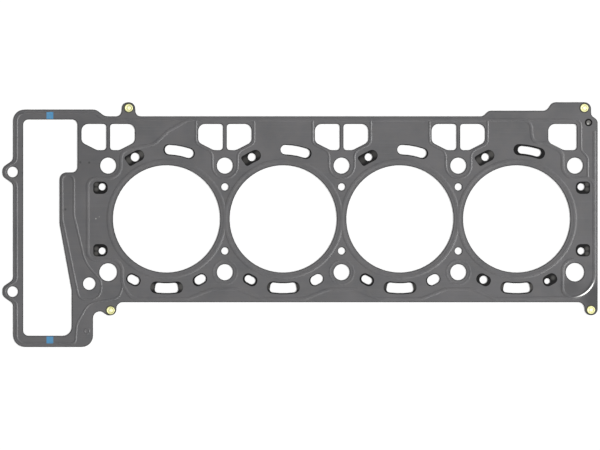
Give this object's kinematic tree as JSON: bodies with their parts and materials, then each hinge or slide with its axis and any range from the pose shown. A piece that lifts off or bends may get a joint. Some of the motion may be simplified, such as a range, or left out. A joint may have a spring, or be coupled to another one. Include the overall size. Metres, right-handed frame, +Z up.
{
  "type": "multi-layer steel cylinder head gasket",
  "caption": "Flat layered steel gasket with a row of cylinder bores, bolt and coolant holes, port windows, embossed sealing beads and a timing case frame at one end.",
  "frame": {"origin": "centre of the head bolt pattern, on the plane that the block-side beads touch", "axes": "+X along the row of bores towards the plain end, away from the timing case frame; +Y across the row towards the ports; +Z up towards the cylinder head"},
  "size_m": [0.4997, 0.2054, 0.0015],
  "materials": {
    "coated_spring_steel": "thin matt grey elastomer coating on stainless spring steel",
    "black_carrier_steel": "near-black coated carrier sheet",
    "rivet_steel": "pale yellow passivated steel rivets",
    "marking_paint": "thin blue marking paint"
  },
  "bodies": {
    "root": {"upper_layer": "coated_spring_steel", "inner_layer": "black_carrier_steel", "lower_layer": "coated_spring_steel", "rivet_upper_left": "rivet_steel", "rivet_upper_right": "rivet_steel", "rivet_lower_left": "rivet_steel", "rivet_lower_right": "rivet_steel", "colour_mark_upper": "marking_paint", "colour_mark_lower": "marking_paint"}
  },
  "joints": []
}
